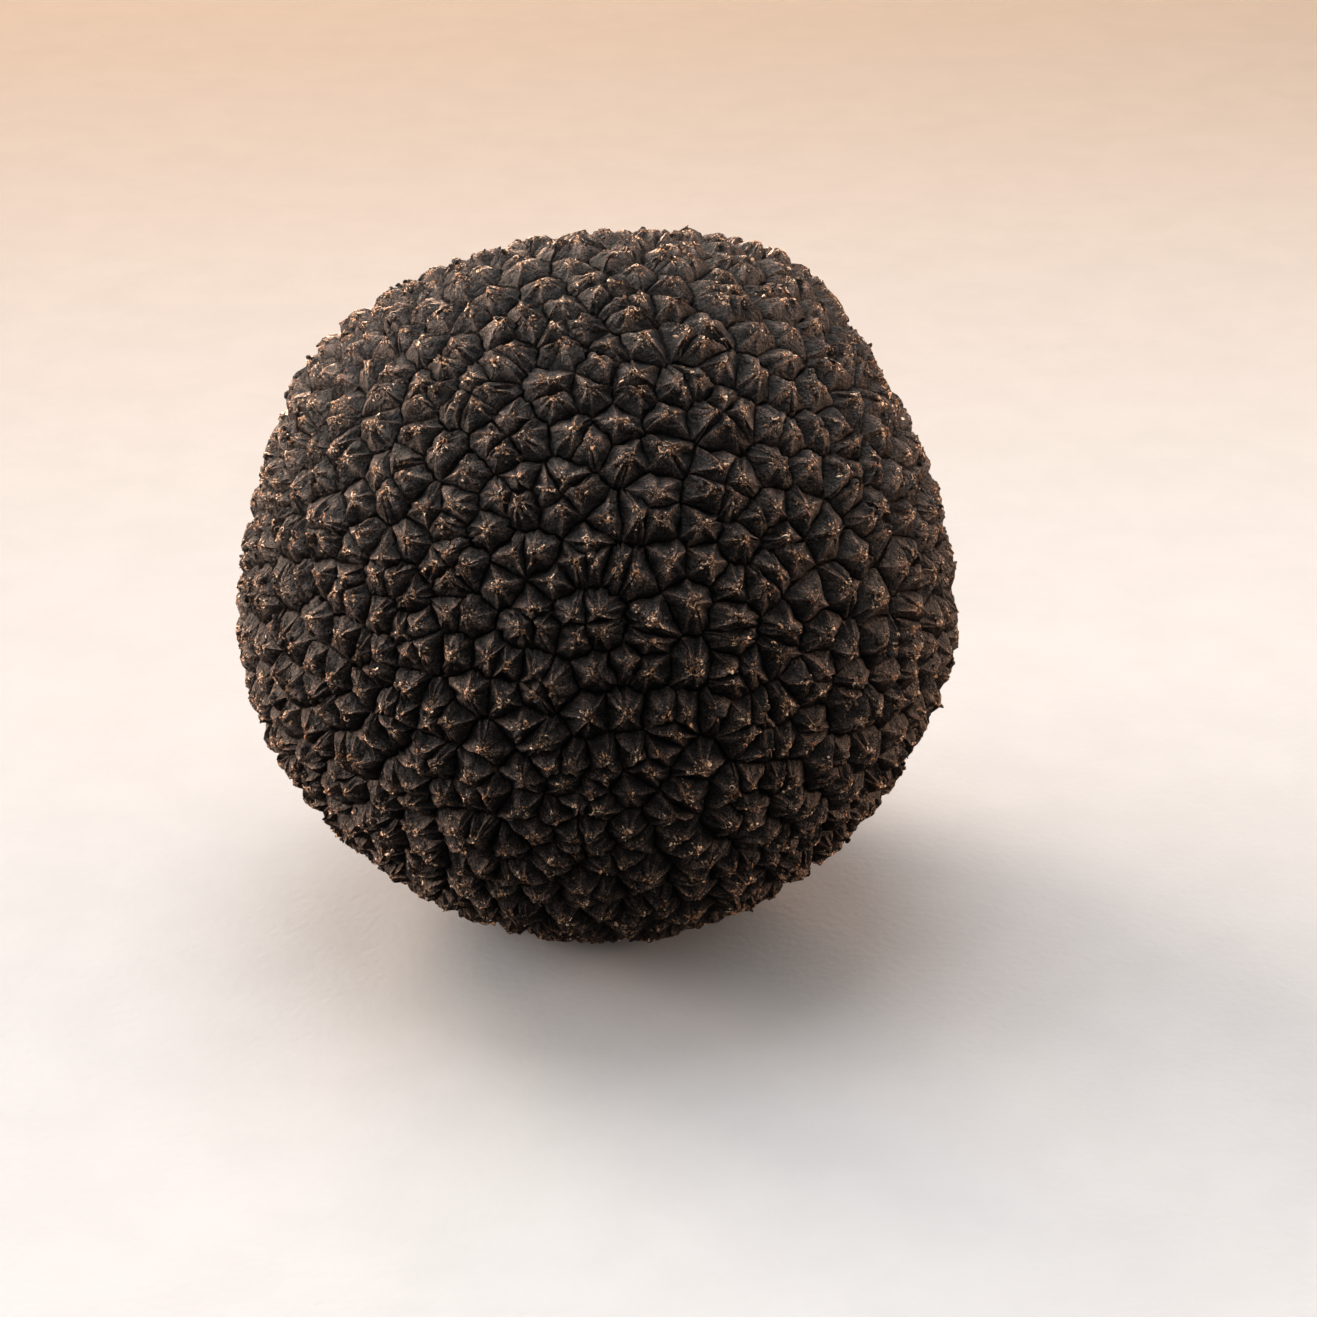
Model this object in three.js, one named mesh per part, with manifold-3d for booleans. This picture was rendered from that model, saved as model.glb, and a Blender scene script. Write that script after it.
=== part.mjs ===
// Black truffle: one whole fruiting body, grown as one piece, so it is one solid.
//
// The body is a lumpy ball. Its skin is cracked into clusters by deep grooves, and shallow cracks
// part most clusters into two to five warts. Each wart is a low pyramid with a many-sided foot,
// whose ridges run from the groove corners up to its tip. Under the body the tips are pressed flat
// in one plane, and it rests on them.
//
// Millimetres, +Z up. The origin is in that plane, under the middle of the body's bounding box.

import * as THREE from "three";
import { ConvexHull } from "three/addons/math/ConvexHull.js";
import { mergeVertices } from "three/addons/utils/BufferGeometryUtils.js";
import Module from "manifold-3d";

// The body, measured over the floors of the grooves.
const BODY_WIDTH = 57.8; // along X
const BODY_DEPTH = 55.2; // along Y
const BODY_HEIGHT = 58.8; // along Z
const MEAN_RADIUS = (BODY_WIDTH + BODY_DEPTH + BODY_HEIGHT) / 6;

// Broad swellings, and hollows where the rise is negative. Azimuth turns from +X towards +Y, and
// elevation is above the horizon. Reach is the angle at which a swelling has mostly died away.
const SWELLINGS = [
  { part: "crown", azimuth: 37, elevation: 51, reach: 22, rise: 2.6 },
  { part: "crown's back edge", azimuth: 60, elevation: 61, reach: 9, rise: 0.6 },
  { part: "left shoulder", azimuth: 158, elevation: 37, reach: 22, rise: 1.4 },
  { part: "right flank", azimuth: -5, elevation: -10, reach: 16, rise: 1.0 },
  { part: "left flank", azimuth: 189, elevation: -18, reach: 30, rise: 0.9 },
  { part: "back lobe", azimuth: 105, elevation: 8, reach: 38, rise: 1.4 },
  { part: "back hollow", azimuth: 65, elevation: 10, reach: 22, rise: -1.2 },
  { part: "top hollow", azimuth: 120, elevation: 61, reach: 14, rise: -0.6 },
  { part: "seat", azimuth: 0, elevation: -90, reach: 26, rise: -1.3 },
];
const SEAT_WART = 4.6; // the width of the broad wart under the body's middle
const SEAT_PRESS = 0.55; // how much of the lowest tips is pressed flat

// Clusters, the widest first: their width, how many places are tried for it, and the fewest and
// the most warts in one.
const CLUSTER_SIZES = [
  { across: 4.6, tries: 120, warts: [3, 4] },
  { across: 3.9, tries: 400, warts: [2, 3] },
  { across: 3.3, tries: 3000, warts: [1, 2] },
  { across: 2.9, tries: 20000, warts: [1, 1] },
];
const COARSE_SIDE = { azimuth: -30, elevation: 10 }; // where the clusters are widest
const COARSENESS = 0.05; // how much wider they are there, and narrower opposite
const CLUSTER_PACKING = 0.86; // the least gap between two clusters' centres, as a share of their mean width
const WART_OFFSET = 0.27; // a wart's place in its cluster, as a share of the cluster's width
const TIP_LEAN = 0.22; // how far tips lean in to the middle of their cluster
const WART_RISE = 0.25; // a tip's height over the groove floor, as a share of the wart's width
const CLUSTER_SHARE = 0.4; // how much of that width is the cluster's
const CRACK_HEIGHT = 0.5; // the height of a shallow crack's floor, as a share of its warts' height
const HUB_HEIGHT = 0.6; // the same where the cracks of a cluster meet
const SHORTEST_EDGE = 0.3; // groove corners closer than this are one corner
const SEED = 2613;

const DEGREE = Math.PI / 180;

// Evenly spread numbers from 0 to 1, the same ones each time.
function randomFrom(seed) {
  let state = seed;
  return () => {
    state = (state + 0x6d2b79f5) | 0;
    let t = Math.imul(state ^ (state >>> 15), 1 | state);
    t = (t + Math.imul(t ^ (t >>> 7), 61 | t)) ^ t;
    return ((t ^ (t >>> 14)) >>> 0) / 4294967296;
  };
}

function directionAt(azimuth, elevation) {
  const flat = Math.cos(elevation * DEGREE);
  return new THREE.Vector3(
    flat * Math.cos(azimuth * DEGREE),
    flat * Math.sin(azimuth * DEGREE),
    Math.sin(elevation * DEGREE),
  );
}

// The groove floor's distance from the body's middle, in a direction.
function floorRadius(direction) {
  const { x, y, z } = direction;
  const ellipsoid = 1 / Math.hypot((2 * x) / BODY_WIDTH, (2 * y) / BODY_DEPTH, (2 * z) / BODY_HEIGHT);
  return SWELLINGS.reduce((radius, { azimuth, elevation, reach, rise }) => {
    const away = direction.angleTo(directionAt(azimuth, elevation)) / (reach * DEGREE);
    return radius + rise * Math.exp(-2 * away * away);
  }, ellipsoid);
}

// Cluster centres, packed on the unit sphere: wide ones first, then narrower ones in the gaps.
function packClusters(random) {
  const clusters = [{ centre: directionAt(0, -90), width: SEAT_WART, warts: [1, 1] }];
  const coarseSide = directionAt(COARSE_SIDE.azimuth, COARSE_SIDE.elevation);
  for (const { across, tries, warts } of CLUSTER_SIZES) {
    for (let i = 0; i < tries; i++) {
      const z = 2 * random() - 1;
      const turn = 2 * Math.PI * random();
      const flat = Math.sqrt(1 - z * z);
      const centre = new THREE.Vector3(flat * Math.cos(turn), flat * Math.sin(turn), z);
      const width = across * (1 + COARSENESS * centre.dot(coarseSide));
      const free = clusters.every((other) => {
        const gap = (CLUSTER_PACKING * (width + other.width)) / 2;
        return centre.distanceTo(other.centre) * MEAN_RADIUS > gap;
      });
      if (free) clusters.push({ centre, width, warts });
    }
  }
  return clusters;
}

// Two directions square to this one and to each other.
function tangentsAt(direction) {
  const away = Math.abs(direction.z) < 0.9 ? new THREE.Vector3(0, 0, 1) : new THREE.Vector3(1, 0, 0);
  const east = away.cross(direction).normalize();
  return [east, direction.clone().cross(east)];
}

// Each cluster's warts, set in a ring round its centre, or one at the centre itself.
function plantWarts(clusters, random) {
  const warts = [];
  clusters.forEach(({ centre, width, warts: [fewest, most] }, cluster) => {
    const count = fewest + Math.floor(random() * (most - fewest + 1));
    const start = 2 * Math.PI * random();
    const [east, north] = tangentsAt(centre);
    for (let k = 0; k < count; k++) {
      const turn = start + (2 * Math.PI * (k + 0.35 * (random() - 0.5))) / count;
      const reach = count > 1 ? (WART_OFFSET * width * (0.85 + 0.3 * random())) / MEAN_RADIUS : 0;
      const site = centre
        .clone()
        .addScaledVector(east, reach * Math.cos(turn))
        .addScaledVector(north, reach * Math.sin(turn))
        .normalize();
      const tip = site.clone().lerp(centre, TIP_LEAN).normalize();
      warts.push({ site, tip, cluster, clusterWidth: width });
    }
  });
  return warts;
}

// Where the grooves run. Each face of the convex hull of the sites, which lie on a sphere, has its
// three warts round it, and the face's normal points at the groove corner where they meet.
function traceGrooves(warts) {
  const index = new Map(warts.map((wart, i) => [wart.site, i]));
  const hull = new ConvexHull().setFromPoints(warts.map((wart) => wart.site));
  const corners = hull.faces.map((face) => ({
    direction: face.normal.clone().normalize(),
    warts: [0, 1, 2].map((k) => index.get(face.getEdge(k).head().point)),
  }));
  warts.forEach((wart) => (wart.corners = []));
  corners.forEach((corner, c) => corner.warts.forEach((w) => warts[w].corners.push(c)));
  for (const wart of warts) {
    const [east, north] = tangentsAt(wart.site);
    const turnOf = (c) => Math.atan2(corners[c].direction.dot(north), corners[c].direction.dot(east));
    wart.corners.sort((a, b) => turnOf(a) - turnOf(b));
  }
  return corners;
}

// Makes corners that nearly touch into one, so that no groove has a sliver of a face beside it.
function joinCloseCorners(warts, corners) {
  const joined = corners.map((_, c) => c);
  const rootOf = (c) => {
    while (joined[c] !== c) c = joined[c];
    return c;
  };
  for (const wart of warts) {
    wart.corners.forEach((c, k) => {
      const [a, b] = [rootOf(c), rootOf(wart.corners[(k + 1) % wart.corners.length])];
      const apart = corners[a].direction.distanceTo(corners[b].direction) * MEAN_RADIUS;
      if (a === b || apart > SHORTEST_EDGE) return;
      joined[Math.max(a, b)] = Math.min(a, b);
      const kept = corners[Math.min(a, b)];
      kept.direction.add(corners[Math.max(a, b)].direction).normalize();
      kept.warts = [...new Set([...corners[a].warts, ...corners[b].warts])];
    });
  }
  for (const wart of warts) {
    wart.corners = wart.corners.map(rootOf).filter((c, k, all) => c !== all[(k + 1) % all.length]);
  }
}

// Tip heights from the warts' widths, and corner heights: a corner is raised only inside a cluster.
function setHeights(warts, corners) {
  for (const wart of warts) {
    const reaches = wart.corners.map((c) => corners[c].direction.distanceTo(wart.tip) * MEAN_RADIUS);
    const width = (2 * reaches.reduce((sum, reach) => sum + reach, 0)) / reaches.length;
    wart.height = WART_RISE * (width + CLUSTER_SHARE * (wart.clusterWidth - width));
  }
  for (const corner of corners) {
    const around = corner.warts.map((w) => warts[w]);
    const inside = around.every((wart) => wart.cluster === around[0].cluster);
    corner.height = inside ? HUB_HEIGHT * Math.min(...around.map((wart) => wart.height)) : 0;
  }
}

// The skin as one closed mesh: a fan of faces round each tip. A groove inside a cluster is a
// shallow crack, with a raised point half way along it.
function buildSkin(warts, corners) {
  const positions = [];
  const faces = [];
  const addPoint = (direction, height) => {
    const point = direction.clone().multiplyScalar(floorRadius(direction) + height);
    return positions.push(...point.toArray()) / 3 - 1;
  };
  const cornerPoint = corners.map(({ direction, height }) => addPoint(direction, height));
  const crackPoints = new Map();
  const crackPoint = (a, b, wart, neighbour) => {
    const key = `${Math.min(a, b)},${Math.max(a, b)}`;
    if (!crackPoints.has(key)) {
      const middle = corners[a].direction.clone().add(corners[b].direction).normalize();
      const height = CRACK_HEIGHT * Math.min(wart.height, neighbour.height);
      crackPoints.set(key, addPoint(middle, Math.max(height, (corners[a].height + corners[b].height) / 2)));
    }
    return crackPoints.get(key);
  };
  warts.forEach((wart, w) => {
    const tip = addPoint(wart.tip, wart.height);
    wart.corners.forEach((a, k) => {
      const b = wart.corners[(k + 1) % wart.corners.length];
      const other = corners[a].warts.find((n) => n !== w && corners[b].warts.includes(n));
      const inCluster = other !== undefined && warts[other].cluster === wart.cluster;
      const along = inCluster ? [cornerPoint[a], crackPoint(a, b, wart, warts[other])] : [cornerPoint[a]];
      along.push(cornerPoint[b]);
      for (let i = 1; i < along.length; i++) faces.push(tip, along[i - 1], along[i]);
    });
  });
  const geometry = new THREE.BufferGeometry();
  geometry.setAttribute("position", new THREE.Float32BufferAttribute(positions, 3));
  return mergeVertices(geometry.setIndex(faces));
}

// The skin with what is below the seat's plane cut away, moved to the part's frame.
async function pressSeat(skin) {
  const wasm = await Module();
  wasm.setup();
  const solidOf = (geometry) => {
    const bare = new THREE.BufferGeometry().setAttribute("position", geometry.getAttribute("position"));
    const merged = mergeVertices(bare.setIndex(geometry.index));
    return new wasm.Manifold(
      new wasm.Mesh({
        numProp: 3,
        vertProperties: merged.attributes.position.array,
        triVerts: new Uint32Array(merged.index.array),
      }),
    );
  };
  skin.computeBoundingBox();
  const { min, max } = skin.boundingBox;
  const seatHeight = min.z + SEAT_PRESS;
  const side = 2 * BODY_WIDTH;
  const below = new THREE.BoxGeometry(side, side, side).translate(0, 0, seatHeight - side / 2);
  const mesh = solidOf(skin).subtract(solidOf(below)).getMesh();
  return new THREE.BufferGeometry()
    .setAttribute("position", new THREE.BufferAttribute(mesh.vertProperties, 3))
    .setIndex(new THREE.BufferAttribute(mesh.triVerts, 1))
    .translate(-(min.x + max.x) / 2, -(min.y + max.y) / 2, -seatHeight);
}

const random = randomFrom(SEED);
const warts = plantWarts(packClusters(random), random);
const corners = traceGrooves(warts);
joinCloseCorners(warts, corners);
setHeights(warts, corners);

const flesh = new THREE.MeshStandardMaterial({ color: 0x241d19, roughness: 0.72, metalness: 0 });
const truffle = new THREE.Mesh(await pressSeat(buildSkin(warts, corners)), flesh);
truffle.name = "truffle";

const part = new THREE.Group();
part.add(truffle);

export default part;
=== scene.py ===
"""A black truffle: its warty skin, the knobs, crumbs and curls on it, and a studio.

The skin's plan repeats the solid's: the same clusters, warts and grooves, from the same draws. Here
each wart gets a convex profile, ridges, fissures and a rough tip. Knobs are low bumps on the warts'
sides; crumbs and curls are loose skin at their tips. The plan is in millimetres, and turns into
metres where a mesh is made.
"""

import math

import bmesh
import bpy
import numpy as np
from mathutils import Matrix, Vector
from mathutils.bvhtree import BVHTree


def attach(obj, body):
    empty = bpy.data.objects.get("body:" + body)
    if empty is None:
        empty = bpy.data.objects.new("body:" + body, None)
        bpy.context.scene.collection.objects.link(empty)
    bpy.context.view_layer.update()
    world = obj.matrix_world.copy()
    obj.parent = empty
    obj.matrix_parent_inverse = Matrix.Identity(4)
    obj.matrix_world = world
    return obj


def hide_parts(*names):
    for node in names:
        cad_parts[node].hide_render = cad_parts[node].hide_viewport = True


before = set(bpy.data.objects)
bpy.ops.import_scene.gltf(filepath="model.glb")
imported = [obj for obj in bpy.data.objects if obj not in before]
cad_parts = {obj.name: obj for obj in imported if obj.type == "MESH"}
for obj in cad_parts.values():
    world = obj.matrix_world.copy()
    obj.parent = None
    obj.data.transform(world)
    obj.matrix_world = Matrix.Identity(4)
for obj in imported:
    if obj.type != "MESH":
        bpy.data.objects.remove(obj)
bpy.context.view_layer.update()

MM = 0.001

# ---- The body and its warts, as in the solid ---------------------------------------------------

BODY_SIZE = np.array([57.8, 55.2, 58.8])  # along X, Y and Z, over the floors of the grooves
MEAN_RADIUS = BODY_SIZE.sum() / 6

# Azimuth and elevation of the middle, in degrees, the angle it reaches, and its rise. The rises of
# the crown, shoulder, flanks and top hollow, and the body's width and height, were fitted to the
# photo's outline.
SWELLINGS = {
    "crown": (37, 51, 22, 2.6),
    "crown's back edge": (60, 61, 9, 0.6),
    "left shoulder": (158, 37, 22, 1.4),
    "right flank": (-5, -10, 16, 1.0),
    "left flank": (189, -18, 30, 0.9),
    "back lobe": (105, 8, 38, 1.4),
    "back hollow": (65, 10, 22, -1.2),
    "top hollow": (120, 61, 14, -0.6),
    "seat": (0, -90, 26, -1.3),
}
SEAT_WART = 4.6  # the width of the broad wart under the body's middle
SEAT_PRESS = 0.55  # how much of the lowest tips is pressed flat

# Width across, places tried, and the fewest and the most warts in a cluster.
CLUSTER_SIZES = ((4.6, 120, 3, 4), (3.9, 400, 2, 3), (3.3, 3000, 1, 2), (2.9, 20000, 1, 1))
COARSE_SIDE = (-30, 10)  # azimuth and elevation
COARSENESS = 0.05
CLUSTER_PACKING = 0.86
WART_OFFSET = 0.27  # a wart's distance from its cluster's centre, as a share of the width
OFFSET_LEAST = 0.85
OFFSET_SPREAD = 0.3
TURN_SPREAD = 0.35  # how far a wart strays round the ring, as a share of its own part of it
TIP_LEAN = 0.22
WART_RISE = 0.25
CLUSTER_SHARE = 0.4
CRACK_HEIGHT = 0.5
HUB_HEIGHT = 0.6
SHORTEST_EDGE = 0.3
PLAN_SEED = 2613

# ---- The finish of the skin --------------------------------------------------------------------

SIDE_STEPS = 3  # steps along one side of a wart's foot
RINGS = (0.06, 0.34, 0.64)  # rings between the groove, at 0, and the tip, at 1
TOP_RING = 0.87  # a last ring, with a point on each ridge only
RING_SPREAD = 0.12  # how far a ring's points stray up and down the side
CONVEXITY = (1.4, 2.3)  # 1 is a straight-sided pyramid
TIP_LIFT = 0.24  # how far tips rise over the solid's
SHOULDER = 0.14  # how much of a wart's height its side has straight from the groove
GROOVE_NOTCH = 0.34  # how far grooves cut below the body's floor
# How much of that notch is cut, by place.
NOTCH_AT_CORNER = 1.2
NOTCH_AT_HUB = 0.6  # a hub is a corner inside a cluster
NOTCH_BETWEEN = (0.5, 1.3)  # between clusters
NOTCH_IN_CRACK = 0.75  # between the warts of one cluster
GROOVE_WANDER = 0.11
RIDGE_RISE = 0.09
FOLD_SIDE = 1.1  # the shortest side with a fold, which is a second ridge, or a fissure
FOLD_SHARE = 0.55
FOLD_CREASE = 0.6  # a second ridge, next to a ridge's 1
FISSURE_SHARE = 0.30
FISSURE_DEPTH = 0.21
FACE_SAG = 0.07
RELIEF_SPREAD = (0.3, 1.7)  # how ridges, fissures and sags differ from their mean
FORM_NOISE = 0.07  # how far points stray from the smooth form
TIP_NOISE = 0.05
PIT_SHARE = 0.5
PIT_DEPTH = (0.12, 0.3)
FINISH_SEED = 77


def random_from(seed):
    """Evenly spread numbers from 0 to 1, the same as the solid's plan draws."""
    word = 0xFFFFFFFF
    state = seed
    while True:
        state = (state + 0x6D2B79F5) & word
        t = ((state ^ (state >> 15)) * (1 | state)) & word
        t = ((t + (t ^ (t >> 7)) * (61 | t)) & word) ^ t
        yield (t ^ (t >> 14)) / (word + 1)


def unit(v):
    return v / np.linalg.norm(v, axis=-1, keepdims=True)


def direction_at(azimuth, elevation):
    a, e = math.radians(azimuth), math.radians(elevation)
    return np.array([math.cos(e) * math.cos(a), math.cos(e) * math.sin(a), math.sin(e)])


def floor_radius(directions):
    """The groove floor's distance from the body's middle, in each direction."""
    radius = 1 / np.linalg.norm(2 * directions / BODY_SIZE, axis=-1)
    for azimuth, elevation, reach, rise in SWELLINGS.values():
        nearness = np.clip(directions @ direction_at(azimuth, elevation), -1, 1)
        away = np.arccos(nearness) / math.radians(reach)
        radius = radius + rise * np.exp(-2 * away * away)
    return radius


def tangents_at(direction):
    away = np.array([0.0, 0.0, 1.0]) if abs(direction[2]) < 0.9 else np.array([1.0, 0.0, 0.0])
    east = unit(np.cross(away, direction))
    return east, np.cross(direction, east)


# ---- The plan: clusters, warts and grooves -----------------------------------------------------


def pack_clusters(draw):
    """[(centre, width, fewest warts, most warts)] on the unit sphere, the widest first."""
    coarse_side = direction_at(*COARSE_SIDE)
    clusters = [(direction_at(0, -90), SEAT_WART, 1, 1)]
    centres, widths = np.array([clusters[0][0]]), np.array([SEAT_WART])
    for across, tries, fewest, most in CLUSTER_SIZES:
        for _ in range(tries):
            z = 2 * next(draw) - 1
            turn = 2 * math.pi * next(draw)
            flat = math.sqrt(1 - z * z)
            centre = np.array([flat * math.cos(turn), flat * math.sin(turn), z])
            width = across * (1 + COARSENESS * (centre @ coarse_side))
            gaps = CLUSTER_PACKING * (width + widths) / 2
            if (np.linalg.norm(centres - centre, axis=1) * MEAN_RADIUS > gaps).all():
                clusters.append((centre, width, fewest, most))
                centres, widths = np.vstack([centres, centre]), np.append(widths, width)
    return clusters


def plant_warts(clusters, draw):
    """Each cluster's warts, set in a ring round its centre, or one at the centre itself."""
    warts = []
    for cluster, (centre, width, fewest, most) in enumerate(clusters):
        count = fewest + math.floor(next(draw) * (most - fewest + 1))
        start = 2 * math.pi * next(draw)
        east, north = tangents_at(centre)
        for k in range(count):
            turn = start + 2 * math.pi * (k + TURN_SPREAD * (next(draw) - 0.5)) / count
            reach = 0
            if count > 1:
                share = OFFSET_LEAST + OFFSET_SPREAD * next(draw)
                reach = WART_OFFSET * width * share / MEAN_RADIUS
            site = unit(centre + reach * (math.cos(turn) * east + math.sin(turn) * north))
            tip = unit(site + TIP_LEAN * (centre - site))
            warts.append({"site": site, "tip": tip, "cluster": cluster, "cluster_width": width})
    return warts


def trace_grooves(warts):
    """The corners where grooves meet: one for each face of the convex hull of the warts' sites."""
    hull = bmesh.new()
    for wart in warts:
        hull.verts.new(wart["site"])
    hull.verts.index_update()
    bmesh.ops.convex_hull(hull, input=hull.verts)
    bmesh.ops.triangulate(hull, faces=hull.faces)
    corners = []
    for face in hull.faces:
        around = [vertex.index for vertex in face.verts]
        a, b, c = (warts[w]["site"] for w in around)
        normal = unit(np.cross(b - a, c - a))
        corners.append({"direction": normal * np.sign(normal @ a), "warts": set(around)})
    hull.free()
    for wart in warts:
        wart["corners"] = []
    for c, corner in enumerate(corners):
        for w in corner["warts"]:
            warts[w]["corners"].append(c)
    for wart in warts:
        east, north = tangents_at(wart["site"])
        places = {c: corners[c]["direction"] for c in wart["corners"]}
        wart["corners"].sort(key=lambda c: math.atan2(places[c] @ north, places[c] @ east))
    return corners


def join_close_corners(warts, corners):
    """Makes corners that nearly touch into one."""
    joined = list(range(len(corners)))

    def root_of(c):
        while joined[c] != c:
            c = joined[c]
        return c

    for wart in warts:
        ring = wart["corners"]
        for here, there in zip(ring, ring[1:] + ring[:1]):
            a, b = sorted((root_of(here), root_of(there)))
            kept, lost = corners[a], corners[b]
            apart = np.linalg.norm(kept["direction"] - lost["direction"]) * MEAN_RADIUS
            if a != b and apart <= SHORTEST_EDGE:
                joined[b] = a
                kept["direction"] = unit(kept["direction"] + lost["direction"])
                kept["warts"] = kept["warts"] | lost["warts"]
    for wart in warts:
        ring = [root_of(c) for c in wart["corners"]]
        wart["corners"] = [c for c, after in zip(ring, ring[1:] + ring[:1]) if c != after]


def set_heights(warts, corners):
    """Tip heights from the warts' widths. A corner is raised only inside a cluster."""
    for wart in warts:
        ring = np.array([corners[c]["direction"] for c in wart["corners"]])
        width = 2 * np.linalg.norm(ring - wart["tip"], axis=1).mean() * MEAN_RADIUS
        wart["height"] = WART_RISE * (width + CLUSTER_SHARE * (wart["cluster_width"] - width))
    for corner in corners:
        around = [warts[w] for w in corner["warts"]]
        inside = len({wart["cluster"] for wart in around}) == 1
        corner["height"] = HUB_HEIGHT * min(wart["height"] for wart in around) if inside else 0


# ---- The skin ----------------------------------------------------------------------------------


class Points:
    """The skin's points: direction, height over the body's floor, and what the materials read.

    Rise goes from 0 in a groove to 1 at a tip. Crease is 1 on a ridge and -1 in a fissure. Spoke
    is the direction from the wart's tip, and moves with the wart's number.
    """

    def __init__(self):
        self.parts = {name: [] for name in ("directions", "heights", "rise", "crease", "spoke")}
        self.count = 0

    def add(self, directions, heights, rise, crease=0, spoke=(0, 0, 0)):
        directions = np.atleast_2d(directions)
        number = len(directions)
        self.parts["directions"].append(directions)
        self.parts["spoke"].append(np.broadcast_to(spoke, (number, 3)))
        for name, value in (("heights", heights), ("rise", rise), ("crease", crease)):
            self.parts[name].append(np.broadcast_to(value, number))
        self.count += number
        return np.arange(self.count - number, self.count)

    def joined(self, name):
        return np.concatenate(self.parts[name])


def cut_grooves(warts, corners, points, random):
    """{(corner, corner): (point numbers, their heights before the notch)}, corners included."""
    corner_points = {}
    for c in sorted({c for wart in warts for c in wart["corners"]}):
        height = corners[c]["height"]
        depth = GROOVE_NOTCH * (NOTCH_AT_CORNER if height == 0 else NOTCH_AT_HUB)
        corner_points[c] = points.add(corners[c]["direction"], height - depth, 0)[0]
    grooves = {}
    for w, wart in enumerate(warts):
        ring = wart["corners"]
        for a, b in zip(ring, ring[1:] + ring[:1]):
            if (b, a) in grooves or (a, b) in grooves:
                continue
            start, end = corners[a], corners[b]
            others = (start["warts"] & end["warts"]) - {w}
            crack = any(warts[n]["cluster"] == wart["cluster"] for n in others)
            s = np.arange(1, SIDE_STEPS) / SIDE_STEPS
            middle = 0.0
            if crack:
                lower = min(warts[n]["height"] for n in others | {w})
                middle = max(CRACK_HEIGHT * lower, (start["height"] + end["height"]) / 2)
            heights = np.interp(s, (0, 0.5, 1), (start["height"], middle, end["height"]))
            along = end["direction"] - start["direction"]
            aside = unit(np.cross(start["direction"], along))
            wander = GROOVE_WANDER / MEAN_RADIUS * random.normal(size=(len(s), 1))
            inner = unit(start["direction"] + s[:, None] * along + wander * aside)
            share = NOTCH_IN_CRACK if crack else random.uniform(*NOTCH_BETWEEN, len(s))
            numbers = points.add(inner, heights - GROOVE_NOTCH * share, 0)
            numbers = np.concatenate([[corner_points[a]], numbers, [corner_points[b]]])
            heights = np.concatenate([[start["height"]], heights, [end["height"]]])
            grooves[a, b] = numbers, heights
            grooves[b, a] = numbers[::-1], heights[::-1]
    return grooves


def fold_columns(side_count, lengths, random):
    """1 at each column of a wart that is a ridge, less at a second ridge, and -1 at a fissure."""
    crease = np.zeros((side_count, SIDE_STEPS))
    crease[:, 0] = 1
    fold = random.integers(1, SIDE_STEPS, side_count)
    chance = random.random(side_count)
    other = np.where(chance < FOLD_SHARE + FISSURE_SHARE, -1, 0)
    kind = np.where(chance < FOLD_SHARE, FOLD_CREASE, other)
    crease[np.arange(side_count), fold] = kind * (lengths > FOLD_SIDE)
    return crease.ravel()


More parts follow.
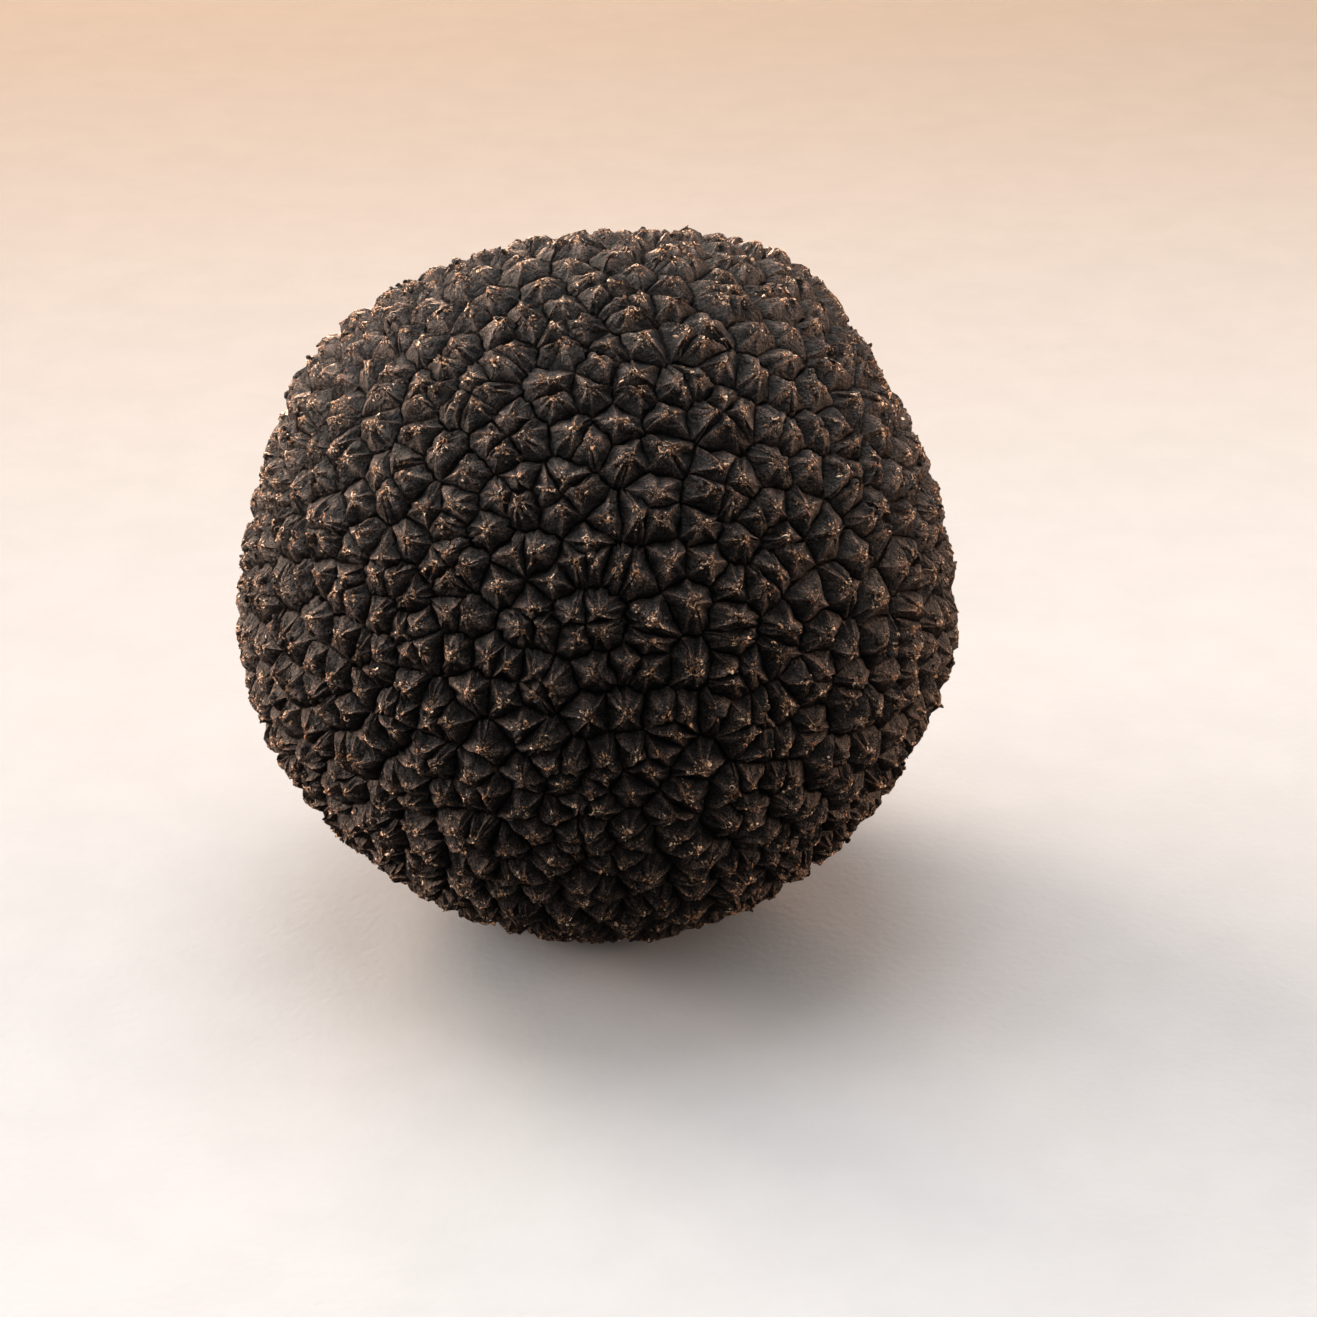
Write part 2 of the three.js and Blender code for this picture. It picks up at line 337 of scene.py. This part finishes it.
def raise_wart(number, wart, grooves, directions, points, random):
    """One wart's faces, and its edges that stay sharp: its grooves, ridges and fissures."""
    ring = wart["corners"]
    sides = [grooves[a, b] for a, b in zip(ring, ring[1:] + ring[:1])]
    foot = np.concatenate([numbers[:-1] for numbers, _ in sides])
    foot_heights = np.concatenate([heights[:-1] for _, heights in sides])
    foot_directions = directions[foot]
    ends = directions[[numbers[[0, -1]] for numbers, _ in sides]]
    lengths = np.linalg.norm(ends[:, 1] - ends[:, 0], axis=1) * MEAN_RADIUS
    crease = fold_columns(len(sides), lengths, random)
    relief = np.where(crease > 0, RIDGE_RISE * crease,
                      np.where(crease < 0, -FISSURE_DEPTH, -FACE_SAG))
    relief = relief * random.uniform(*RELIEF_SPREAD, len(foot))
    convexity = random.uniform(*CONVEXITY)
    peak = wart["height"] + TIP_LIFT
    east, north = tangents_at(wart["tip"])
    away = foot_directions - wart["tip"]
    spokes = unit(np.stack([away @ east, away @ north, np.zeros(len(foot))], 1))
    spokes[:, 2] = number

    def ring_at(t, kept, noise):
        number_kept = len(kept)
        t = t + RING_SPREAD * t * (1 - t) * random.uniform(-1, 1, number_kept)
        stray = FORM_NOISE / MEAN_RADIUS * random.normal(size=(number_kept, 3))
        around = foot_directions[kept] * (1 - t)[:, None] + wart["tip"] * t[:, None] + stray
        heights = foot_heights[kept]
        climb = SHOULDER + (1 - SHOULDER) * (1 - (1 - t) ** convexity)
        heights = heights + (peak - heights) * climb
        heights = heights + 4 * t * (1 - t) ** 0.5 * relief[kept]
        heights = heights + noise * random.normal(size=number_kept)
        return points.add(unit(around), heights, t, crease[kept], spokes[kept])

    columns = np.arange(len(foot))
    ridges = columns[::SIDE_STEPS]
    levels = [foot] + [ring_at(t, columns, FORM_NOISE) for t in RINGS]
    top = ring_at(TOP_RING, ridges, TIP_NOISE)
    stray = TIP_NOISE / MEAN_RADIUS * random.normal(size=3)
    pit = random.uniform(*PIT_DEPTH) * (random.random() < PIT_SHARE)
    tip = points.add(unit(wart["tip"] + stray), peak - pit, 1, 0, (0, 0, number))[0]

    after = np.roll(columns, -1)
    faces = []
    for outer, inner in zip(levels[:-1], levels[1:]):
        faces += [(outer, outer[after], inner), (outer[after], inner[after], inner)]
    start, one, two = (levels[-1][k::SIDE_STEPS] for k in range(SIDE_STEPS))
    end, next_top = np.roll(start, -1), np.roll(top, -1)
    faces += [(start, one, top), (one, next_top, top), (one, two, next_top), (two, end, next_top),
              (top, next_top, np.full(len(top), tip))]

    folded = columns[crease != 0]
    sharp = [(foot, foot[after]), (foot[ridges], levels[1][ridges]),
             (levels[1][folded], levels[2][folded]), (levels[2][folded], levels[3][folded]),
             (start, top)]
    return [np.concatenate([np.stack(row, 1) for row in rows]) for rows in (faces, sharp)]


def grow_skin():
    """(places in mm in the part's frame, faces, sharp edges, points)"""
    draw = random_from(PLAN_SEED)
    warts = plant_warts(pack_clusters(draw), draw)
    corners = trace_grooves(warts)
    join_close_corners(warts, corners)
    set_heights(warts, corners)

    random = np.random.default_rng(FINISH_SEED)
    points = Points()
    grooves = cut_grooves(warts, corners, points, random)
    directions = points.joined("directions")
    made = [raise_wart(number, wart, grooves, directions, points, random)
            for number, wart in enumerate(warts)]
    faces = np.concatenate([faces for faces, _ in made])
    sharp = np.concatenate([edges for _, edges in made])

    tips = np.array([wart["tip"] for wart in warts])
    tops = tips * (floor_radius(tips) + np.array([wart["height"] for wart in warts]))[:, None]
    low, high = tops.min(0), tops.max(0)
    middle = np.array([(low[0] + high[0]) / 2, (low[1] + high[1]) / 2, low[2] + SEAT_PRESS])
    directions = points.joined("directions")
    reach = floor_radius(directions) + points.joined("heights")
    places = directions * reach[:, None] - middle
    places[:, 2] = np.maximum(places[:, 2], 0)
    return places, faces, sharp, points


def new_piece(name, places, faces, material, smooth):
    """A piece from places in mm and triangles, riding on the one body."""
    mesh = bpy.data.meshes.new(name)
    mesh.from_pydata((places * MM).tolist(), [], faces.tolist())
    mesh.materials.append(material)
    if smooth:
        mesh.shade_smooth()
    else:
        mesh.shade_flat()
    piece = bpy.data.objects.new(name, mesh)
    bpy.context.scene.collection.objects.link(piece)
    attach(piece, "root")
    return piece


def give_values(mesh, name, values):
    """Gives each point of a mesh a number or a vector, which materials read by this name."""
    kind, key = ("FLOAT", "value") if values.ndim == 1 else ("FLOAT_VECTOR", "vector")
    data = mesh.attributes.new(name, kind, "POINT").data
    data.foreach_set(key, values.astype(np.float32).ravel())


def keep_sharp(mesh, pairs):
    """Marks these edges sharp, so that shading breaks along them."""
    ends = np.zeros(len(mesh.edges) * 2, np.int64)
    mesh.edges.foreach_get("vertices", ends)
    size = len(mesh.vertices)

    def keys(edges):
        return edges.min(1) * size + edges.max(1)

    marks = np.isin(keys(ends.reshape(-1, 2)), keys(pairs))
    mesh.attributes.new("sharp_edge", "BOOLEAN", "EDGE").data.foreach_set("value", marks)


# ---- Knobs, crumbs and curls on the skin --------------------------------------------------------

# Radii are in mm. As shares of a lump's radius, roughness is how far its points stray, flatness
# its height and sunk the depth of its middle. Fineness is how often the ball under it is divided.
KNOBS_PER_WART = 1.6
KNOB_LOOK = {"fineness": 2, "radii": (0.18, 0.42), "roughness": 0.06, "flatness": 0.6, "sunk": 0.15}
CRUMBS_PER_WART = 7
CRUMB_LOOK = {"fineness": 1, "radii": (0.06, 0.165), "roughness": 0.28, "flatness": 0.45, "sunk": 0.2}
LUMP_STRETCH = (0.4, 1.7)
CURLS_PER_WART = 3.0
CURL_RADIUS = (0.10, 0.28)
CURL_SWEEP = (80, 300)  # degrees
CURL_WOBBLE = 0.25
CURL_THICKNESS = (0.03, 0.07)
CURL_LIFT = 0.04  # a curl stands off the skin by up to twice this
CURL_STEPS = 5
CLEAR_OF_FLOOR = 1.2  # loose skin stays this high over the floor


def scatter(random, count, places, faces, weights):
    """Random points on the skin, more where the faces' weights are high, and the normals there."""
    corners = places[faces]
    normals = np.cross(corners[:, 1] - corners[:, 0], corners[:, 2] - corners[:, 0])
    areas = np.linalg.norm(normals, axis=1)
    chances = weights * areas * (corners[:, :, 2].min(1) > CLEAR_OF_FLOOR)
    chosen = random.choice(len(faces), count, p=chances / chances.sum())
    share = random.dirichlet((1, 1, 1), count)
    return (corners[chosen] * share[:, :, None]).sum(1), unit(normals[chosen])


def turned_frames(random, normals):
    """For each normal, two directions square to it, turned at random about it."""
    helper = unit(random.normal(size=normals.shape))
    first = unit(np.cross(normals, helper))
    return first, np.cross(normals, first)


def ball_shape(fineness):
    """Points on a unit ball, and the triangles between them."""
    ball = bmesh.new()
    bmesh.ops.create_icosphere(ball, subdivisions=fineness, radius=1)
    shape = np.array([vertex.co for vertex in ball.verts])
    sides = np.array([[vertex.index for vertex in face.verts] for face in ball.faces])
    ball.free()
    return shape, sides


def raise_lumps(random, spots, normals, fineness, radii, roughness, flatness, sunk):
    """(places, faces, tones): uneven lumps, sunk in the skin to their middles or deeper."""
    shape, sides = ball_shape(fineness)
    count = len(spots)
    first, second = turned_frames(random, normals)
    small, large = radii
    radius = small + (large - small) * random.random(count) ** 2
    stretch = random.uniform(*LUMP_STRETCH, (count, 3)) * (1, 1, flatness)
    lumps = shape * (1 + roughness * random.normal(size=(count, len(shape), 1)))
    lumps = lumps * stretch[:, None, :] * radius[:, None, None]
    axes = np.stack([first, second, normals], 1)
    spots = spots - sunk * radius[:, None] * normals
    made = spots[:, None, :] + np.einsum("cpk,ckx->cpx", lumps, axes)
    numbers = sides + len(shape) * np.arange(count)[:, None, None]
    tones = np.repeat(random.random(count), len(shape))
    return made.reshape(-1, 3), numbers.reshape(-1, 3), tones


def laid_on(skin, line):
    """Moves each point of these lines to the nearest place on the skin, and gives the normals."""
    found = [skin.find_nearest(point)[:2] for point in line.reshape(-1, 3).tolist()]
    return [np.array(part).reshape(line.shape) for part in zip(*found)]


def shed_curls(random, places, faces, weights, wart_count):
    """(places, faces, tones): thin bent threads, as of peeling skin, lying round the tips."""
    count = int(CURLS_PER_WART * wart_count)
    spots, normals = scatter(random, count, places, faces, weights)
    first, second = turned_frames(random, normals)
    radius = random.uniform(*CURL_RADIUS, count)[:, None]
    sweep = np.radians(random.uniform(*CURL_SWEEP, count))[:, None]
    thick = random.uniform(*CURL_THICKNESS, count)[:, None]
    t = np.linspace(0, 1, CURL_STEPS + 1)[None, :]
    turn = (t - 0.5) * sweep
    wobble = 1 + CURL_WOBBLE * np.sin(7 * t + 6.3 * random.random((count, 1)))
    arc = radius * wobble
    drawn = (spots[:, None, :]
             + (arc * np.cos(turn) - radius)[..., None] * first[:, None, :]
             + (arc * np.sin(turn))[..., None] * second[:, None, :])
    line, up = laid_on(BVHTree.FromPolygons(places.tolist(), faces.tolist()), drawn)
    stands = np.clip(random.normal(size=(count, 1)), 0, 2)
    lift = 0.4 * thick + stands * CURL_LIFT * np.sin(turn) ** 2
    line = line + lift[..., None] * up
    # The drawn line keeps a direction where laid points coincide.
    along = unit(np.gradient(line, axis=1) + 0.1 * np.gradient(drawn, axis=1))
    up = unit(up - (along * up).sum(-1, keepdims=True) * along)
    aside = np.cross(along, up)
    width = (thick * np.sqrt(np.clip(np.sin(np.pi * (0.08 + 0.84 * t)), 0, 1)))[..., None]
    rings = np.stack([line + width * up, line + width * aside,
                      line - width * up, line - width * aside], 2)
    per_curl = (CURL_STEPS + 1) * 4
    k = np.arange(CURL_STEPS)[:, None] * 4
    side = np.arange(4)[None, :]
    a, b = k + side, k + (side + 1) % 4
    tube = np.concatenate([np.stack([a, b, a + 4], -1).reshape(-1, 3),
                           np.stack([b, b + 4, a + 4], -1).reshape(-1, 3)])
    last = CURL_STEPS * 4
    ends = np.array([[0, 2, 1], [0, 3, 2], [last, last + 1, last + 2], [last, last + 2, last + 3]])
    sides = np.concatenate([tube, ends])
    numbers = sides[None] + per_curl * np.arange(count)[:, None, None]
    tones = np.repeat(random.random(count), per_curl)
    return rings.reshape(-1, 3), numbers.reshape(-1, 3), tones


# ---- Materials ---------------------------------------------------------------------------------


class Nodes:
    """Short calls for building one material's nodes, or a world's."""

    def __init__(self, name, world=None):
        self.material = world or bpy.data.materials.new(name)
        self.material.use_nodes = True
        self.tree = self.material.node_tree
        self.shader = self.tree.nodes["Background" if world else "Principled BSDF"]

    def add(self, kind, **settings):
        node = self.tree.nodes.new(kind)
        for key, value in settings.items():
            setattr(node, key, value)
        return node

    def link(self, value, socket):
        if isinstance(value, bpy.types.NodeSocket):
            self.tree.links.new(value, socket)
        else:
            socket.default_value = value

    def attribute(self, name, output="Fac"):
        return self.add("ShaderNodeAttribute", attribute_name=name).outputs[output]

    def noise(self, size_mm, detail=2.0, roughness=0.5, distortion=0.0, place=None):
        """Noise with features of about this size, in the part's own coordinates or in place's."""
        place = place or self.add("ShaderNodeTexCoord").outputs["Object"]
        node = self.add("ShaderNodeTexNoise")
        self.link(place, node.inputs["Vector"])
        node.inputs["Scale"].default_value = 1 / (size_mm * MM)
        node.inputs["Detail"].default_value = detail
        node.inputs["Roughness"].default_value = roughness
        node.inputs["Distortion"].default_value = distortion
        return node.outputs["Fac"]

    def ramp(self, value, low, high, out_low=0.0, out_high=1.0, linear=False):
        kind = "LINEAR" if linear else "SMOOTHSTEP"
        node = self.add("ShaderNodeMapRange", interpolation_type=kind)
        self.link(value, node.inputs["Value"])
        for name, number in (("From Min", low), ("From Max", high),
                             ("To Min", out_low), ("To Max", out_high)):
            node.inputs[name].default_value = number
        return node.outputs["Result"]

    def maths(self, operation, a, b):
        node = self.add("ShaderNodeMath", operation=operation)
        self.link(a, node.inputs[0])
        self.link(b, node.inputs[1])
        return node.outputs[0]

    def mix(self, share, a, b):
        node = self.add("ShaderNodeMix", data_type="RGBA")
        self.link(share, node.inputs["Factor"])
        for value, socket in ((a, node.inputs[6]), (b, node.inputs[7])):
            self.link((*value, 1) if isinstance(value, tuple) else value, socket)
        return node.outputs[2]

    def bands(self, place, stops):
        """A colour that goes from stop to stop, each a place and the colour there."""
        first, last = stops[0][0], stops[-1][0]
        node = self.add("ShaderNodeValToRGB")
        self.link(place, node.inputs["Fac"])
        made = node.color_ramp.elements
        while len(made) < len(stops):
            made.new(0.5)
        for stop, (at, colour) in zip(made, stops):
            stop.position = (at - first) / (last - first)
            stop.color = (*colour, 1)
        return node.outputs["Color"]

    def plus(self, a, b):
        node = self.add("ShaderNodeVectorMath", operation="ADD")
        self.link(a, node.inputs[0])
        self.link(b, node.inputs[1])
        return node.outputs[0]

    def times(self, colour, factor):
        node = self.add("ShaderNodeVectorMath", operation="SCALE")
        self.link(colour, node.inputs[0])
        self.link(factor, node.inputs["Scale"])
        return node.outputs[0]

    def bump(self, height, depth_mm, under=None):
        node = self.add("ShaderNodeBump")
        node.inputs["Strength"].default_value = 1.0
        node.inputs["Distance"].default_value = depth_mm * MM
        self.link(height, node.inputs["Height"])
        if under is not None:
            self.link(under, node.inputs["Normal"])
        return node.outputs["Normal"]


# In the materials, noise sizes and bump depths are in mm, and the other numbers are ramps' ends.
# Painted shade: near-black laid in the grooves and in spots near the tips.
PAINTED_SHADE_BLACK = (0.0012, 0.0010, 0.0009)
FACE_DARK = (0.0090, 0.0081, 0.0079)
# Painted highlight: a lighter brown that the faces take towards their ridges and folds.
RIDGE_HIGHLIGHT_BROWN = (0.0460, 0.0337, 0.0288)
TIP_BROWN = (0.110, 0.056, 0.033)
# Painted highlight: the pale colour of the lines on the ridge crests.
RIDGE_PAINTED_HIGHLIGHT = (0.260, 0.150, 0.093)
FLECK_TAN = (0.520, 0.260, 0.120)
FLECK_PALE = (0.950, 0.670, 0.460)
CRUMB_DARK = (0.014, 0.010, 0.008)
CRUMB_TAN = (0.480, 0.240, 0.115)
CRUMB_BRIGHT = (0.980, 0.720, 0.500)
SKIN_IOR = 1.28  # low, so that the rims don't turn grey


def skin_material():
    n = Nodes("truffle_skin")
    rise, crease = n.attribute("rise"), n.attribute("crease")
    spokes = n.noise(0.25 / MM, 2, 0.5, place=n.attribute("spoke", "Vector"))
    grain = n.noise(0.15, 3, 0.8)
    patches = n.noise(0.7, 2, 0.6)

    # Painted highlight: the faces turn lighter brown towards ridges and folds, in patches.
    edge = n.maths("MULTIPLY", n.ramp(crease, 0.0, 1.0), n.ramp(patches, 0.35, 0.6, 0.3, 1.0))
    colour = n.mix(edge, FACE_DARK, RIDGE_HIGHLIGHT_BROWN)
    grain_shade = n.ramp(grain, 0.40, 0.66, 0.25, 4.6)
    # Painted shade: the colour darkens down each wart towards its groove and lightens towards its
    # tip.
    painted_groove_shade = n.ramp(rise, 0, 0.7, 0.35, 1.35)
    colour = n.times(colour, n.maths("MULTIPLY", grain_shade, painted_groove_shade))
    clots = n.noise(0.36, 2, 0.6)
    brown = n.maths("MULTIPLY", n.ramp(rise, 0.55, 1.0), n.ramp(clots, 0.50, 0.58))
    colour = n.mix(brown, colour, TIP_BROWN)
    # Painted shade: black spots near the tips, in place of the shadow in small pits.
    painted_pit_shade = n.maths("MULTIPLY", n.ramp(rise, 0.45, 0.9), n.ramp(clots, 0.46, 0.40))
    colour = n.mix(painted_pit_shade, colour, PAINTED_SHADE_BLACK)
    # Painted shade: black at each wart's foot, in the grooves.
    colour = n.mix(n.ramp(rise, 0.0, 0.04), PAINTED_SHADE_BLACK, colour)

    # Painted highlight: broken pale lines on the ridge crests, brighter towards the tips.
    broken = n.ramp(n.noise(0.22, 2, 0.6), 0.48, 0.60)
    line = n.maths("MULTIPLY", n.ramp(crease, 0.80, 0.98), n.ramp(rise, 0.2, 0.8, 0.05, 0.70))
    colour = n.mix(n.maths("MULTIPLY", line, broken), colour, RIDGE_PAINTED_HIGHLIGHT)
    fleck = n.ramp(n.noise(0.22, 2, 0.5), 0.60, 0.64)
    top = n.maths("MULTIPLY", n.ramp(rise, 0.4, 0.8), fleck)
    fleck_colour = n.mix(n.ramp(n.noise(0.35, 1), 0.45, 0.60), FLECK_TAN, FLECK_PALE)
    colour = n.mix(top, colour, fleck_colour)
    n.link(colour, n.shader.inputs["Base Color"])

    n.link(n.ramp(n.noise(0.4, 2), 0.3, 0.7, 0.38, 0.60), n.shader.inputs["Roughness"])
    n.shader.inputs["IOR"].default_value = SKIN_IOR
    fine = n.bump(grain, 0.13)
    streaks = n.bump(spokes, 0.25, under=fine)
    coarse = n.bump(n.noise(0.6, 4, 0.6, 0.5), 0.6, under=streaks)
    n.link(coarse, n.shader.inputs["Normal"])
    return n.material


def loose_material(name, bright_from):
    """Loose skin: dark brown to tan, and brightest in a few pieces."""
    n = Nodes(name)
    tone = n.attribute("tone")
    colour = n.mix(n.ramp(tone, 0.2, 0.5), CRUMB_DARK, CRUMB_TAN)
    colour = n.mix(n.ramp(tone, bright_from, 0.95), colour, CRUMB_BRIGHT)
    grain = n.noise(0.10, 2, 0.6)
    colour = n.times(colour, n.ramp(grain, 0.35, 0.65, 0.3, 1.3))
    n.link(colour, n.shader.inputs["Base Color"])
    n.link(n.ramp(grain, 0.3, 0.7, 0.35, 0.6), n.shader.inputs["Roughness"])
    n.link(n.bump(grain, 0.08), n.shader.inputs["Normal"])
    return n.material


# ---- The studio --------------------------------------------------------------------------------

# Degrees, metres and the lens in mm. The distance and the target were fitted to the photo's outline.
VIEW_ELEVATION = 26.0
VIEW_DISTANCE = 0.266
VIEW_TARGET = Vector((0.0051, -0.0030, 0.0234))
LENS = 85.0


def place_camera():
    e = math.radians(VIEW_ELEVATION)
    back = Vector((0, -math.cos(e), math.sin(e)))
    up = Vector((0, math.sin(e), math.cos(e)))
    camera = bpy.data.objects.new("camera", bpy.data.cameras.new("camera"))
    camera.data.lens = LENS
    camera.data.clip_start = 0.01
    placed = Matrix((Vector((1, 0, 0)), up, back)).transposed().to_4x4()
    placed.translation = VIEW_TARGET + VIEW_DISTANCE * back
    camera.matrix_world = placed
    bpy.context.scene.collection.objects.link(camera)
    bpy.context.scene.camera = camera


FLOOR_SIZE = 60.0
# Painted light: the floor's colour turns darker and warmer from near to far, in place of light
# falling off toward the back.
FLOOR_NEAR = (0.35, 0.375, 0.40)
FLOOR_FAR = (0.20, 0.17, 0.14)
FLOOR_TURN = (-0.10, 0.34)  # where it starts and ends turning warm, in metres behind the truffle
# Painted shade: the floor is darker on the left.
FLOOR_LEFT = 0.84  # how much of its colour the floor keeps on the left, where the light is stronger
FLOOR_LEFT_TO_RIGHT = (-0.10, 0.10)  # where that starts and ends, in metres
MOTTLE_SIZE = 9.0  # mm
MOTTLE = (0.98, 1.02)


def floor_material():
    n = Nodes("floor")
    split = n.add("ShaderNodeSeparateXYZ")
    n.link(n.add("ShaderNodeTexCoord").outputs["Object"], split.inputs[0])
    # Painted light: darker and warmer toward the back.
    painted_falloff = n.ramp(split.outputs["Y"], *FLOOR_TURN)
    mottle = n.ramp(n.noise(MOTTLE_SIZE, 3, 0.6), 0.3, 0.7, *MOTTLE)
    # Painted shade, darker on the left.
    across = n.ramp(split.outputs["X"], *FLOOR_LEFT_TO_RIGHT, FLOOR_LEFT, 1.0, linear=True)
    colour = n.mix(painted_falloff, FLOOR_NEAR, FLOOR_FAR)
    colour = n.times(colour, n.maths("MULTIPLY", mottle, across))
    n.link(colour, n.shader.inputs["Base Color"])
    n.shader.inputs["Roughness"].default_value = 0.9
    n.shader.inputs["Specular IOR Level"].default_value = 0.1
    n.link(n.bump(n.noise(0.8), 0.03), n.shader.inputs["Normal"])
    return n.material


def lay_floor():
    mesh = bpy.data.meshes.new("floor")
    s = FLOOR_SIZE / 2
    mesh.from_pydata([(-s, -s, 0), (s, -s, 0), (s, s, 0), (-s, s, 0)], [], [(0, 1, 2, 3)])
    mesh.materials.append(floor_material())
    floor = bpy.data.objects.new("floor", mesh)
    bpy.context.scene.collection.objects.link(floor)
    floor.visible_diffuse = False  # the truffle gets no light from the floor
    floor.visible_glossy = False


def add_light(name, place, size, power, colour):
    light = bpy.data.lights.new(name, "AREA")
    light.shape = "DISK"
    light.size = size
    light.energy = power
    light.color = colour
    lamp = bpy.data.objects.new(name, light)
    lamp.location = place
    aim = LIGHT_TARGET - lamp.location
    lamp.rotation_euler = aim.to_track_quat("-Z", "Y").to_euler()
    bpy.context.scene.collection.objects.link(lamp)


LIGHT_TARGET = Vector((0, 0, 0.03))
NEUTRAL_LIGHT = (1.0, 0.96, 0.93)
WARM_LIGHT = (1.0, 0.80, 0.62)
RIM_LIGHT = (1.0, 0.62, 0.42)
# Place and width in metres, power in watts, and colour.
LIGHTS = {
    "key": ((-0.02, 0.14, 0.55), 0.44, 2.9, NEUTRAL_LIGHT),
    "upper_left": ((-0.75, 0.63, 0.69), 0.50, 15.0, WARM_LIGHT),
    "left": ((-1.10, 0.10, 0.42), 0.80, 17.0, NEUTRAL_LIGHT),
}
RIM_LIGHTS = ((15, 44), (100, 62), (165, 54))  # azimuth and power
RIM_REACH = 1.6
RIM_HEIGHT = 0.11
RIM_WIDTH = 0.70
# Height of a direction over the horizon, from -1 to 1, and the light that comes from there.
SKY = (
    (-0.15, (0.02, 0.016, 0.013)),
    (0.02, (0.46, 0.430, 0.405)),
    (0.50, (0.70, 0.67, 0.64)),
    (1.00, (0.90, 0.87, 0.84)),
)
SKY_FRONT_TO_BACK = (1.10, 1.45)
BACKDROP_GLOW = (0.90, 0.52, 0.30)  # added to the sky low down behind the truffle


def hang_lights():
    for name, (place, width, power, colour) in LIGHTS.items():
        add_light(name, place, width, power, colour)
    for number, (azimuth, power) in enumerate(RIM_LIGHTS):
        a = math.radians(azimuth)
        place = (RIM_REACH * math.cos(a), RIM_REACH * math.sin(a), RIM_HEIGHT)
        add_light(f"rim_{number}", place, RIM_WIDTH, power, RIM_LIGHT)


def make_sky():
    world = bpy.data.worlds.new("studio")
    n = Nodes("studio", world)
    split = n.add("ShaderNodeSeparateXYZ")
    n.link(n.add("ShaderNodeTexCoord").outputs["Generated"], split.inputs[0])
    height = n.ramp(split.outputs["Z"], SKY[0][0], SKY[-1][0], linear=True)
    sky = n.times(n.bands(height, SKY), n.ramp(split.outputs["Y"], -0.8, 0.6, *SKY_FRONT_TO_BACK))
    behind = n.maths("MULTIPLY", n.ramp(split.outputs["Y"], 0.1, 0.9),
                     n.ramp(split.outputs["Z"], 0.6, 0.1))
    behind = n.maths("MULTIPLY", behind, n.ramp(split.outputs["Z"], -0.1, 0.05))
    n.link(n.plus(sky, n.times(BACKDROP_GLOW, behind)), n.shader.inputs["Color"])
    bpy.context.scene.world = world


# ---- The truffle -------------------------------------------------------------------------------


def lay_skin(places, faces, sharp, points, look):
    skin = new_piece("skin", places, faces, look, smooth=True)
    for name in ("rise", "crease", "spoke"):
        give_values(skin.data, name, points.joined(name))
    keep_sharp(skin.data, sharp)
    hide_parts("truffle")


def add_knobs(random, places, faces, top, wart_count, look):
    """Low bumps on the warts' sides, of the skin's own material."""
    weights = np.clip(top - 0.2, 0, 1) * (top < 0.85)
    spots, normals = scatter(random, int(KNOBS_PER_WART * wart_count), places, faces, weights)
    made_places, made_faces, tones = raise_lumps(random, spots, normals, **KNOB_LOOK)
    knobs = new_piece("knobs", made_places, made_faces, look, smooth=True)
    give_values(knobs.data, "rise", 0.45 + 0.3 * tones)


def add_crumbs(random, places, faces, top, own, wart_count):
    """Specks of loose skin at the tips, more on some warts than on others."""
    weights = np.clip(top - 0.45, 0, 1) ** 1.2 * (0.2 + own ** 2)
    spots, normals = scatter(random, int(CRUMBS_PER_WART * wart_count), places, faces, weights)
    made_places, made_faces, tones = raise_lumps(random, spots, normals, **CRUMB_LOOK)
    look = loose_material("crumbs", 0.48)
    crumbs = new_piece("tip_crumbs", made_places, made_faces, look, smooth=False)
    give_values(crumbs.data, "tone", tones)


def add_curls(random, places, faces, top, wart_count):
    weights = np.clip(top - 0.6, 0, 1)
    made_places, made_faces, tones = shed_curls(random, places, faces, weights, wart_count)
    look = loose_material("curls", 0.50)
    curls = new_piece("tip_curls", made_places, made_faces, look, smooth=True)
    give_values(curls.data, "tone", tones)


def make_truffle():
    """The skin and what is on it. Top goes from 0 at a groove's faces to 1 at a tip."""
    places, faces, sharp, points = grow_skin()
    look = skin_material()
    lay_skin(places, faces, sharp, points, look)
    random = np.random.default_rng(FINISH_SEED)
    rise = points.joined("rise")
    wart_count = int((rise == 1).sum())
    top = rise[faces].mean(1)
    wart_numbers = points.joined("spoke")[faces[:, 2], 2].astype(int)
    own = random.random(wart_count)[wart_numbers]  # each wart's own share of crumbs
    add_knobs(random, places, faces, top, wart_count, look)
    add_crumbs(random, places, faces, top, own, wart_count)
    add_curls(random, places, faces, top, wart_count)


place_camera()
lay_floor()
hang_lights()
make_sky()
bpy.context.scene.view_settings.view_transform = "Standard"
make_truffle()
